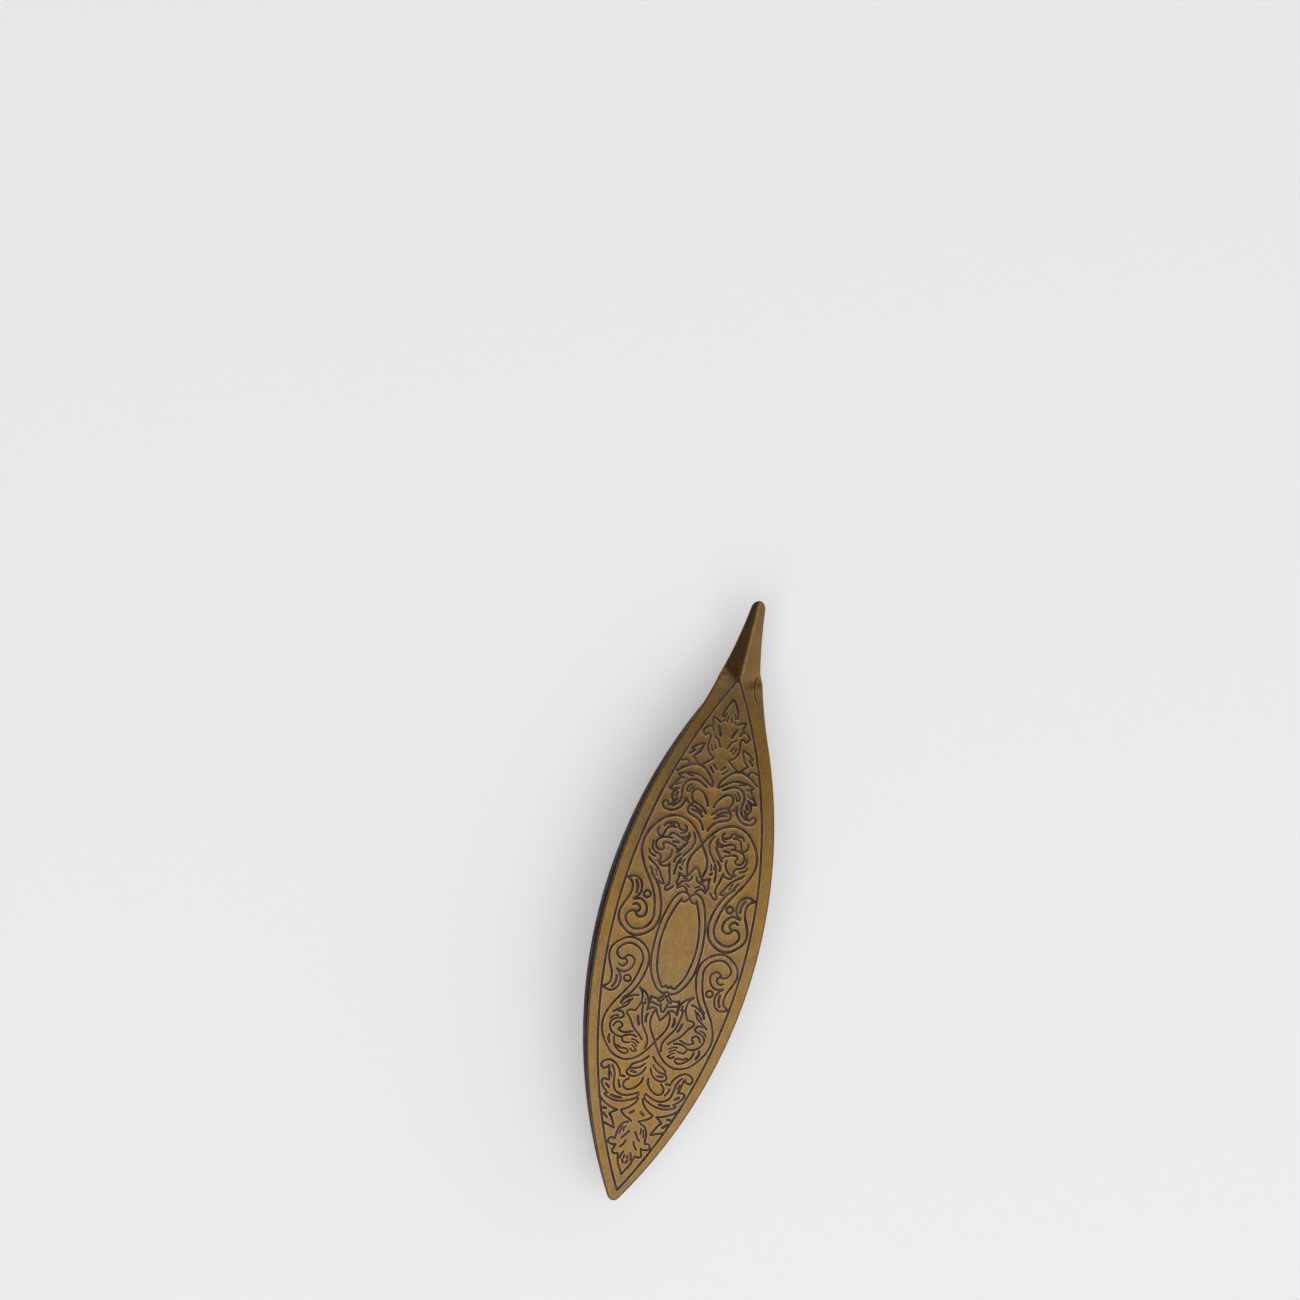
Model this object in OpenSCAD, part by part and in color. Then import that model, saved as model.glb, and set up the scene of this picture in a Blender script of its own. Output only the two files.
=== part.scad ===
// Tatting shuttle with a folded pick: two sprung, leaf-shaped blades soldered to a drilled post.
// X runs along the shuttle towards the pick, Y across it and Z up.
// The origin is the middle of the thread hole, halfway between the two blades.

/* [Blades] */
// Length of the leaf-shaped body, from tip to tip
body_length = 79.8; // [72:0.2:88]
// Width of each blade at its widest
blade_width = 23.2; // [20:0.2:27]
// Height over the crowns of the two blades
body_height = 11; // [9.5:0.1:13]
// Thickness of the sheet that the blades are pressed from
sheet = 0.7; // [0.5:0.05:0.9]
// Drop from the crown of a blade to its rim, across the width
dish = 0.6; // [0.2:0.05:1]
// Radius of the rounded body tips, seen from above
tip_r = 0.9; // [0.6:0.1:2]
// Rounding along the rims of the sheet
edge_r = 0.25; // [0.1:0.05:0.3]
// Gap between the sprung tips, where the thread clicks through
tip_gap = 0.1; // [0.05:0.01:0.2]

/* [Pick] */
// How far the pick reaches past the body tip
pick_reach = 9.1; // [7:0.1:12]
// Radius of the tip of the pick, seen from above
pick_tip_r = 1.2; // [0.8:0.05:1.4]
// Where the neck of the pick leaves the leaf outline, back from the body tip
neck_back = 11.2; // [9:0.1:14]
// Where the fold of the pick begins, back from the body tip
fold_back = 4.6; // [3.6:0.1:5.4]
// How far the start of the fold slants forwards for each millimetre out from the ridge
fold_slant = 0.5; // [0.3:0.05:0.9]
// Length over which the fold comes in
fold_run = 2.4; // [2:0.1:4]
// Angle of each folded side below the level
fold_angle = 38; // [25:1:45]
// Radius of the ridge along the fold
ridge_r = 0.35; // [0.2:0.05:0.6]
// Length over which the ridge levels out
level_run = 2; // [1.4:0.1:3]

/* [Post] */
// Length of the post along the shuttle
post_length = 14; // [10:0.5:18]
// Width of the post across the shuttle
post_width = 3.2; // [2.8:0.1:5]
// Diameter of the thread hole through the post
thread_hole_d = 2; // [1.4:0.1:2.4]
// Chamfer at both mouths of the thread hole
hole_chamfer = 0.3; // [0.1:0.05:0.4]
// Reach of the solder seams round both ends of the post
seam_leg = 0.8; // [0.5:0.05:1.2]
// Thickness of the solder film between a blade and the post
solder_film = 0.03; // [0.02:0.01:0.08]

/* [Hidden] */

bronze = [0.61, 0.47, 0.29];
dark_bronze = [0.50, 0.39, 0.25];
solder = [0.55, 0.50, 0.42];

half_length = body_length / 2;
half_width = blade_width / 2;
crown_z = body_height / 2;

// Bow along the shuttle: the inner face of each blade is an arc from crown to tip.
bow_rise = crown_z - sheet - tip_gap / 2;
tip_slope = 2 * atan(bow_rise / (half_length - edge_r));
closing_x = half_length - edge_r - sheet * sin(tip_slope);
inner_bow_r = (pow(closing_x, 2) + pow(bow_rise, 2)) / (2 * bow_rise);
outer_bow_r = inner_bow_r + sheet;
bow_centre_z = crown_z - outer_bow_r;

// Leaf outline: one large arc down each side, blended into the tip circle.
tip_x = half_length - tip_r;
leaf_r = (pow(tip_x, 2) + pow(half_width, 2) - pow(tip_r, 2)) / (2 * (half_width - tip_r));
leaf_centre = [0, half_width - leaf_r];
leaf_turn = atan2(tip_x, leaf_r - half_width);

// Neck of the pick: a hollow arc that leaves the leaf smoothly and meets the circle at the pick's tip.
pick_end = half_length + pick_reach;
pick_centre = [pick_end - pick_tip_r, 0];
neck_turn = asin((half_length - neck_back) / leaf_r);
neck_start = leaf_centre + leaf_r * heading(neck_turn);
neck_span = neck_start - pick_centre;
neck_r = (neck_span * neck_span - pow(pick_tip_r, 2)) / (2 * (pick_tip_r - heading(neck_turn) * neck_span));
neck_centre = neck_start + neck_r * heading(neck_turn);
pick_turn = atan2(neck_centre[0] - pick_centre[0], neck_centre[1] - pick_centre[1]);

fold_x = half_length - fold_back;
fold_entry_slope = -fold_x / sqrt(pow(outer_bow_r, 2) - pow(fold_x, 2));

// Counts of facets, and the last turn of the outline before a tip is closed with a flat.
tip_steps = 5;
leaf_steps = 37;
neck_steps = 26;
last_turn = 85;
slope_step = 0.01;

// Where the post and its seams meet a blade: under the lowest inner face that the seams reach.
seat_reach = post_width / 2 + seam_leg;
seam_end_x = post_length / 2 + seam_leg;
seam_end_z = seat_z(seam_end_x);
seat_steps = 9;
seam_lip = seam_leg / 4;
seam_r = sqrt(pow(seam_leg + seam_lip, 2) + pow(seam_lip, 2));
cut_margin = 1;
round_fn = 144;

// Direction in plan of an outline normal, turned from +Y towards +X.
function heading(turn) = [sin(turn), cos(turn)];

// Points on an arc with their normals' turns; a negative radius gives a hollow arc.
function arc_run(centre, r, from, to, steps, first) =
    [for (i = [first:steps]) let (turn = from + (to - from) * i / steps) [centre + r * heading(turn), turn]];

// One side of a blade's outline, from the tail tip to the tip at the pick end.
function outline(with_pick) = concat(
    arc_run([-tip_x, 0], tip_r, -last_turn, -leaf_turn, tip_steps, 0),
    arc_run(leaf_centre, leaf_r, -leaf_turn, with_pick ? neck_turn : leaf_turn, leaf_steps, 1),
    with_pick ? arc_run(neck_centre, -neck_r, neck_turn, pick_turn, neck_steps, 1) : [],
    with_pick ? arc_run(pick_centre, pick_tip_r, pick_turn, last_turn, tip_steps, 1)
              : arc_run([tip_x, 0], tip_r, leaf_turn, last_turn, tip_steps, 1));

function ease(t) = let (c = min(max(t, 0), 1)) c * c * (3 - 2 * c);

function dish_drop(y) = dish * pow(y / half_width, 2);

function bow_z(x) = bow_centre_z + sqrt(pow(outer_bow_r, 2) - pow(x, 2));

// Height of the crown line, which levels out into the ridge of the pick.
function crown_line(x, with_pick) =
    with_pick && x > fold_x
        ? let (run = min(x - fold_x, level_run)) bow_z(fold_x) + fold_entry_slope * run * (1 - run / (2 * level_run))
        : bow_z(x);

// Slope of the folded sides, which comes in behind a line that slants forwards from the ridge to the rims.
function fold_slope(x, y, with_pick) =
    with_pick ? tan(fold_angle) * ease((x - fold_x - fold_slant * abs(y)) / fold_run) : 0;

// Outer face of a blade.
function outer_z(x, y, with_pick) =
    crown_line(x, with_pick) - dish_drop(y)
    - fold_slope(x, y, with_pick) * (sqrt(y * y + ridge_r * ridge_r) - ridge_r);

function slope_at(x, y, with_pick) = [
    outer_z(x + slope_step, y, with_pick) - outer_z(x - slope_step, y, with_pick),
    outer_z(x, y + slope_step, with_pick) - outer_z(x, y - slope_step, with_pick)] / (2 * slope_step);

// Inner face of a blade, one sheet below the outer face measured square to it.
function inner_z(x, y, with_pick) =
    let (s = slope_at(x, y, with_pick)) outer_z(x, y, with_pick) - sheet * sqrt(1 + s * s);

// Columns of facets on each side of the middle. A whole number puts a line of corners along the pick's ridge,
// and a half leaves a flat strip along the middle of the lower blade, for the shuttle to lie on.
function columns(with_pick) = with_pick ? 5 : 5.5;

// Closed section of a blade at one outline point: outer face, one rim, inner face, the other rim.
function section(at, with_pick) =
    let (
        way = heading(at[1]),
        top = at[0] - edge_r * way,
        s = slope_at(top[0], top[1], with_pick),
        lean = 1 / sqrt(1 + s * s),
        normal = [-s[0], -s[1], 1] * lean,
        along = s * way,
        out = [way[0], way[1], along] / sqrt(1 + along * along),
        top_rim = [top[0], top[1], outer_z(top[0], top[1], with_pick)],
        low = top_rim - sheet * normal,
        low_rim = [low[0], max(low[1], top[1] / 10), low[2]],
        across = columns(with_pick),
        rim = [for (a = [45, 90]) top_rim + edge_r * (sin(a) * out - (1 - cos(a)) * normal),
               for (a = [90, 45]) low_rim + edge_r * (sin(a) * out + (1 - cos(a)) * normal)])
    concat(
        [for (k = [-across:across]) let (y = top[1] * k / across) [top[0], y, outer_z(top[0], y, with_pick)]],
        rim,
        [for (k = [across:-1:-across])
            let (y = low_rim[1] * k / across) [low_rim[0], y, inner_z(low_rim[0], y, with_pick)]],
        [for (k = [3:-1:0]) [rim[k][0], -rim[k][1], rim[k][2]]]);

// Height that the post and the solder may fill below a blade, over their whole width.
function seat_z(x) = inner_z(x, seat_reach, false) - solder_film;

// A pressed blade, skinned over its sections. Each end is closed by joining the two faces of its last section.
module blade(with_pick) {
    sections = [for (at = outline(with_pick)) section(at, with_pick)];
    across = columns(with_pick);
    rings = len(sections);
    ring = len(sections[0]);
    right = 2 * across;
    left = ring / 2 + right;
    rim = ring / 2 - right - 1;
    skin = [for (i = [0:rings - 2], j = [0:ring - 1])
        let (a = i * ring + j, b = i * ring + (j + 1) % ring)
        each j >= across && j < across + ring / 2
            ? [[a, b, a + ring], [b, b + ring, a + ring]]
            : [[a, b, b + ring], [a, b + ring, a + ring]]];
    cap = concat(
        [for (j = [0:right - 1]) each [[j + 1, j, left - j], [j + 1, left - j, left - j - 1]]],
        [for (j = [1:rim]) [right, right + j + 1, right + j]],
        [for (j = [1:rim]) [left, (left + j + 1) % ring, left + j]]);
    far_cap = [for (f = cap) [f[2], f[1], f[0]] + (rings - 1) * ring * [1, 1, 1]];
    polyhedron(points = [for (s = sections) each s], faces = concat(skin, cap, far_cap), convexity = 6);
}

module stadium(length, width) {
    square([length - width, width], center = true);
    for (side = [-1, 1])
        translate([side * (length - width) / 2, 0]) circle(d = width, $fn = round_fn);
}

// The room between the two blades that the post and the solder fill, bowed above and below.
module seat_room() {
    far_x = seam_end_x + cut_margin;
    upper_edge = [for (i = [-seat_steps:seat_steps]) let (x = far_x * i / seat_steps) [x, seat_z(x)]];
    rotate([90, 0, 0])
        linear_extrude(blade_width / 2, center = true) polygon(concat(upper_edge, -upper_edge));
}

module post_prism() {
    linear_extrude(body_height, center = true) stadium(post_length, post_width);
}

// Solder drawn into the corner between the post and a blade, with a hollow face.
module seam_profile() {
    difference() {
        square([seam_leg, seam_leg + cut_margin]);
        translate([seam_leg + seam_lip, -seam_lip]) circle(seam_r, $fn = round_fn);
    }
}

module solder_seam() {
    end_x = (post_length - post_width) / 2;
    intersection() {
        seat_room();
        translate([0, 0, seam_end_z - seam_leg])
            for (turn = [0, 180])
                rotate([0, 0, turn]) {
                    translate([end_x, 0, 0]) rotate([0, 0, -90])
                        rotate_extrude(angle = 180, $fn = round_fn) translate([post_width / 2, 0]) seam_profile();
                    translate([-end_x, post_width / 2, 0])
                        rotate([90, 0, 90]) linear_extrude(2 * end_x) seam_profile();
                }
    }
}

module upper_blade() color(bronze) blade(true);

module lower_blade() color(bronze) mirror([0, 0, 1]) blade(false);

module center_post() {
    color(dark_bronze)
    difference() {
        intersection() {
            seat_room();
            post_prism();
        }
        rotate([90, 0, 0])
            cylinder(d = thread_hole_d, h = post_width + 2 * cut_margin, center = true, $fn = round_fn);
        for (side = [-1, 1])
            rotate([side * 90, 0, 0]) translate([0, 0, post_width / 2 - hole_chamfer])
                cylinder(d1 = thread_hole_d, d2 = thread_hole_d + 2 * hole_chamfer, h = hole_chamfer, $fn = round_fn);
    }
}

module upper_solder_seam() color(solder) solder_seam();

module lower_solder_seam() color(solder) mirror([0, 0, 1]) solder_seam();

upper_blade();
lower_blade();
center_post();
upper_solder_seam();
lower_solder_seam();
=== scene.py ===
"""A tatting shuttle in antique bronze: two engraved, sprung blades on a drilled post, with a folded pick."""

import math

import bpy
from mathutils import Matrix, Vector, kdtree
from mathutils.geometry import delaunay_2d_cdt


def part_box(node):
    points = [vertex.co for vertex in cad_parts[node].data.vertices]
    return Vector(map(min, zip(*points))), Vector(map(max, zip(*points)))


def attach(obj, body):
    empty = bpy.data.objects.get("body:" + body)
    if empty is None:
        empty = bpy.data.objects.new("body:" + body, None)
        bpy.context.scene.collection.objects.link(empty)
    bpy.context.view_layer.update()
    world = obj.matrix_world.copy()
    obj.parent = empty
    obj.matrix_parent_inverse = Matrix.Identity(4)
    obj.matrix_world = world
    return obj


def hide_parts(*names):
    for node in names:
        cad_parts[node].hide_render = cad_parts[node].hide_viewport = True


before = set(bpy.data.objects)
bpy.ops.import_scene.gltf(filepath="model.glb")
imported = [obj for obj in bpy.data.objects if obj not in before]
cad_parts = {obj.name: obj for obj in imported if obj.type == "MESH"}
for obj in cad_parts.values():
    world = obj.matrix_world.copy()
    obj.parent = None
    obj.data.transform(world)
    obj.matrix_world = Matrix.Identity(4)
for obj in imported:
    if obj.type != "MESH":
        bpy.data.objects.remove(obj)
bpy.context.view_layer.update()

# The shuttle's sizes are in millimetres, and MM turns them into metres. The studio's are in metres.
MM = 0.001

# Blades, as the solids have them
HALF_LENGTH = 39.9
HALF_WIDTH = 11.6
CROWN = 5.5
SHEET = 0.7
DISH = 0.6
TIP_R = 0.9
EDGE_R = 0.25
TIP_GAP = 0.1

# Pick
PICK_REACH = 9.1
PICK_TIP_R = 1.2
NECK_BACK = 11.2
FOLD_BACK = 4.6
FOLD_SLANT = 0.5
FOLD_RUN = 2.4
FOLD_ANGLE = math.radians(38)
RIDGE_R = 0.35
LEVEL_RUN = 2.0

# Engraved lines: their widths, and how much broader the hard-struck ones are
LINE_W = 0.36
BOLD_W = 0.44
FINE_W = 0.28
CREASE_W = 0.2
HARD_STRIKE = 1.15

# A groove's section: its depth, the share of its width that is flat floor, and the lip beside it
GROOVE_DEPTH = 0.09
FLOOR_SHARE = 1 / 3
LIP_W = 0.1
LIP_RISE = 0.02

# How deep in a groove the residue begins, as a share of its depth, and how far up a lip the painted highlight
# goes
RESIDUE_FROM = 0.12
LIP_HIGHLIGHT_FROM = 0.3

# Spacing of the points along the engraved lines
STROKE_STEP = 0.2
SAMPLE_STEP = 0.04
BEND_STEPS = 12
RING_STEPS = 20
BORDER_STEPS = 60
END_TURNS = 4

# Spacing of the mesh on the plain metal and on the folded pick
PLAIN_STEP = 1.0
PICK_STEP = 0.25
PICK_MARGIN = 1
PICK_ROWS = (0.12, 0.25, 0.45, 0.75, 1.1, 1.5, 2.0, 2.5, 3.0, 3.5, 4.0)
CLEAR_OF_LINE = 0.4

# Spacing of the mesh along the rim, over its round and just inside it
RIM_STEP = 0.45
MIN_ARC_STEPS = 6
RIM_TURNS = 4
RIM_RING = 0.12
RING_CLEAR = 0.9 * RIM_RING
RIM_CLEAR = 0.3

# The share of a rim point's distance from the ridge that the point under it keeps at least
RIDGE_KEEP = 0.1

# The step for reading a slope, and the least span that a length is divided by
SLOPE_STEP = 0.01
LEAST_SPAN = 1e-9

# The triangulation fills the whole hull and merges points that are this close.
WHOLE_HULL = 0
MERGE_DISTANCE = 1e-4

# Edges between faces that turn by more than this are shaded sharp.
SHARP_TURN = math.radians(24)

# A blade's materials, in the order of its slots; the third is a painted highlight on the lips of the lines
FACE, RESIDUE, LIP_HIGHLIGHT, INSIDE, EDGE = range(5)

# Bow of the blades along the shuttle
bow_rise = CROWN - SHEET - TIP_GAP / 2
tip_slope = 2 * math.atan(bow_rise / (HALF_LENGTH - EDGE_R))
closing_x = HALF_LENGTH - EDGE_R - SHEET * math.sin(tip_slope)
outer_bow_r = (closing_x**2 + bow_rise**2) / (2 * bow_rise) + SHEET
bow_centre_z = CROWN - outer_bow_r

# Leaf outline, and the neck that leads to the pick
tip_x = HALF_LENGTH - TIP_R
leaf_r = (tip_x**2 + HALF_WIDTH**2 - TIP_R**2) / (2 * (HALF_WIDTH - TIP_R))
leaf_centre = Vector((0, HALF_WIDTH - leaf_r))
leaf_turn = math.atan2(tip_x, leaf_r - HALF_WIDTH)


def heading(turn):
    """Direction in plan of an outline normal, turned from +Y towards +X."""
    return Vector((math.sin(turn), math.cos(turn)))


pick_centre = Vector((HALF_LENGTH + PICK_REACH - PICK_TIP_R, 0))
neck_turn = math.asin((HALF_LENGTH - NECK_BACK) / leaf_r)
neck_start = leaf_centre + leaf_r * heading(neck_turn)
neck_span = neck_start - pick_centre
neck_r = (neck_span.length_squared - PICK_TIP_R**2) / (2 * (PICK_TIP_R - heading(neck_turn).dot(neck_span)))
neck_centre = neck_start + neck_r * heading(neck_turn)
pick_turn = math.atan2(neck_centre.x - pick_centre.x, neck_centre.y - pick_centre.y)

fold_x = HALF_LENGTH - FOLD_BACK
fold_entry_slope = -fold_x / math.sqrt(outer_bow_r**2 - fold_x**2)


def arc_run(centre, r, start, end):
    """Points on an arc with their normals' turns, from start up to but not with end."""
    count = max(MIN_ARC_STEPS, round(abs(end - start) * abs(r) / RIM_STEP))
    turns = [start + (end - start) * i / count for i in range(count)]
    return [(centre + r * heading(t), t) for t in turns]


def outline(with_pick):
    """One side of a blade's outline, from the tail tip to the tip at the pick end."""
    run = arc_run(Vector((-tip_x, 0)), TIP_R, -math.pi / 2, -leaf_turn)
    if with_pick:
        run += arc_run(leaf_centre, leaf_r, -leaf_turn, neck_turn)
        run += arc_run(neck_centre, -neck_r, neck_turn, pick_turn)
        run += arc_run(pick_centre, PICK_TIP_R, pick_turn, math.pi / 2)
        last = pick_centre + Vector((PICK_TIP_R, 0))
    else:
        run += arc_run(leaf_centre, leaf_r, -leaf_turn, leaf_turn)
        run += arc_run(Vector((tip_x, 0)), TIP_R, leaf_turn, math.pi / 2)
        last = Vector((HALF_LENGTH, 0))
    return run + [(last, math.pi / 2)]


def loop_outline(with_pick):
    """The whole outline, up one side and back down the other."""
    side = outline(with_pick)
    back = [(Vector((at.x, -at.y)), math.pi - turn) for at, turn in side[-2:0:-1]]
    return side + back


def ease(t):
    """A smooth step from 0 to 1."""
    c = min(max(t, 0), 1)
    return c * c * (3 - 2 * c)


def bow_z(x):
    """Height of the bowed crown line."""
    return bow_centre_z + math.sqrt(outer_bow_r**2 - x**2)


def outer_z(x, y, with_pick):
    """Height of a blade's outer face, before engraving."""
    crown = bow_z(min(x, fold_x)) if with_pick else bow_z(x)
    slope = 0
    if with_pick and x > fold_x:
        run = min(x - fold_x, LEVEL_RUN)
        crown += fold_entry_slope * run * (1 - run / (2 * LEVEL_RUN))
        slope = math.tan(FOLD_ANGLE) * ease((x - fold_x - FOLD_SLANT * abs(y)) / FOLD_RUN)
    return crown - DISH * (y / HALF_WIDTH) ** 2 - slope * (math.hypot(y, RIDGE_R) - RIDGE_R)


def slope_at(x, y, with_pick):
    """How steeply a blade's outer face rises along and across the shuttle."""
    h = SLOPE_STEP
    along = outer_z(x + h, y, with_pick) - outer_z(x - h, y, with_pick)
    across = outer_z(x, y + h, with_pick) - outer_z(x, y - h, with_pick)
    return Vector((along, across)) / (2 * h)


def inner_z(x, y, with_pick):
    """Height of a blade's inner face, one sheet under the outer one."""
    s = slope_at(x, y, with_pick)
    return outer_z(x, y, with_pick) - SHEET * math.sqrt(1 + s.length_squared)


# The pattern sits a little askew on the blade: how far it leans sideways and lengthways per millimetre.
LEAN = 0.008
SKEW = 0.045
PATTERN_SCALE = 0.9933
PATTERN_SHIFT = Vector((0.257, 0.06))

# The tail's scrolls are the pick's, turned about the cartouche's middle, smaller and narrower.
MIDDLE_X = -2.15
AFT_SHRINK = 0.965
AFT_NARROWING = 0.005
AFT_NARROWS_FROM = 3


def resample(points, step):
    """Evenly spaced points along a polyline."""
    spans = [(b - a).length for a, b in zip(points, points[1:])]
    count = max(1, round(sum(spans) / step))
    wanted = [sum(spans) * i / count for i in range(count + 1)]
    out, i, done = [], 0, 0.0
    for w in wanted:
        while i < len(spans) - 1 and done + spans[i] < w:
            done += spans[i]
            i += 1
        out.append(points[i].lerp(points[i + 1], min(1, (w - done) / max(spans[i], LEAST_SPAN))))
    return out


def bend(*places, w=LINE_W):
    """A smooth engraved line through the given places: its points in plan, and its width."""
    p = [Vector(q) for q in places]
    p = [2 * p[0] - p[1]] + p + [2 * p[-1] - p[-2]]
    fine = []
    for a, b, c, d in zip(p, p[1:], p[2:], p[3:]):
        straight = c - a
        curl = 2 * a - 5 * b + 4 * c - d
        twist = 3 * b - a - 3 * c + d
        for k in range(BEND_STEPS):
            t = k / BEND_STEPS
            fine.append(0.5 * (2 * b + straight * t + curl * t**2 + twist * t**3))
    return fine + [p[-2]], w


def ring(centre, r, w=LINE_W):
    """An engraved circle."""
    turns = [2 * math.pi * i / RING_STEPS for i in range(RING_STEPS + 1)]
    return [Vector(centre) + r * heading(t) for t in turns], w


def aft(lines):
    """The same lines turned end for end about the cartouche, a little smaller."""

    def place(p):
        x = MIDDLE_X - AFT_SHRINK * (p.x - MIDDLE_X)
        return Vector((x, p.y * (1 - AFT_NARROWING * max(0, p.x - AFT_NARROWS_FROM))))

    return [([place(p) for p in points], w) for points, w in lines]


def deeper(lines):
    """The same lines struck harder, so that they come out broader."""
    return [(points, HARD_STRIKE * w) for points, w in lines]


def mirrored(lines):
    """The lines and their mirror images on the shuttle's other side."""
    return lines + [([Vector((p.x, -p.y)) for p in points], w) for points, w in lines]


def border():
    """The frame line, an arc down each side that meets the other at both ends."""
    centre_x, half_length, half_width = -0.75, 38.0, 9.95
    r = (half_length**2 + half_width**2) / (2 * half_width)
    turn = math.atan2(half_length, r - half_width)
    turns = [turn * (i / BORDER_STEPS - 1) for i in range(2 * BORDER_STEPS + 1)]
    return [([Vector((centre_x, half_width - r)) + r * heading(t) for t in turns], LINE_W)]


def cartouche():
    """The plain oval in the middle, inside two lines with a small notch at each end."""
    return [
        bend((4.75, 0), (5.2, 0.25), (5.5, 0.75), (5.3, 1.4), (4.9, 1.85), (4.0, 2.35), (3.0, 2.7),
             (1.5, 3.1), (0, 3.33), (-2.2, 3.48), (-4.5, 3.4), (-6.2, 3.1), (-7.6, 2.5), (-8.7, 1.75),
             (-9.2, 1.1), (-9.4, 0.5), (-9.1, 0)),
        bend((4.75, 0), (4.4, 0.3), (4.1, 0.6), (4.15, 1.0), (4.5, 1.1)),
        bend((4.5, 1.1), (3.6, 1.5), (2.5, 1.9), (1.2, 2.3), (0, 2.5), (-2.0, 2.7), (-4.2, 2.55),
             (-6.2, 2.15), (-7.6, 1.55), (-8.2, 1.15)),
        bend((-8.2, 1.15), (-8.5, 1.0), (-8.5, 0.6), (-8.2, 0.4), (-8.6, 0)),
    ]


def scroll():
    """The large C of the volute, the S that leaves it, and its curled end beside the cartouche."""
    return [
        bend((8.2, -1.15), (9.0, -1.35), (9.7, -1.4), (10.5, -1.25), (11.2, -0.95), (12.0, -0.45),
             (12.6, -0.05), (13.4, 0.4), (14.2, 0.95), (15.0, 1.65), (15.6, 2.4), (16.0, 3.3),
             (16.15, 4.1), (15.95, 5.2), (15.5, 6.1), (15.0, 6.65), (14.0, 7.45), (13.0, 8.0),
             (12.0, 8.3), (11.0, 8.37), (10.0, 8.2), (9.0, 7.8), (8.0, 7.3), (7.0, 6.65), (6.0, 6.0),
             (5.0, 5.4), (4.0, 5.0), (3.0, 4.72), (2.0, 4.55), (1.3, 4.45), (0.5, 4.6), (-0.3, 5.05),
             (-0.8, 5.75), (-1.05, 6.6), (-0.9, 7.3), (-0.4, 7.95), (0.3, 8.35), (0.9, 8.25),
             (1.3, 7.95), (1.5, 7.45), (1.35, 7.1), (1.0, 6.95), (0.78, 6.6), (0.8, 6.15), (1.2, 5.65)),
        bend((1.2, 5.65), (1.8, 5.6), (2.5, 5.8), (3.1, 6.3), (3.35, 6.9), (3.2, 7.4), (3.1, 7.85)),
        bend((2.3, 7.7), (2.55, 7.3), (2.4, 6.9), (2.0, 6.62), (1.6, 6.68), (1.35, 7.1)),
        bend((3.1, 7.85), (3.5, 7.45), (4.2, 7.05), (5.0, 7.05), (5.8, 7.3), (6.3, 7.85), (6.42, 8.5),
             (6.05, 9.35)),
        bend((6.05, 9.35), (5.7, 8.8), (5.2, 8.42), (4.5, 8.35), (3.6, 8.48), (2.8, 8.8), (2.0, 9.15),
             (1.2, 9.38), (0.3, 9.35), (-0.5, 9.0), (-1.2, 8.3), (-1.75, 7.5), (-1.95, 6.7), (-1.8, 5.8),
             (-1.3, 4.9), (-0.7, 4.25), (0, 3.85), (0.8, 3.65), (1.6, 3.58), (2.5, 3.68), (3.5, 3.9),
             (4.5, 4.25), (5.3, 4.6), (6.2, 5.15), (7.2, 6.1)),
        bend((5.8, 8.0), (5.4, 7.78), (4.8, 7.62), (4.1, 7.65), w=BOLD_W),
        ring((4.18, 6.08), 0.5),
    ]


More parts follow.
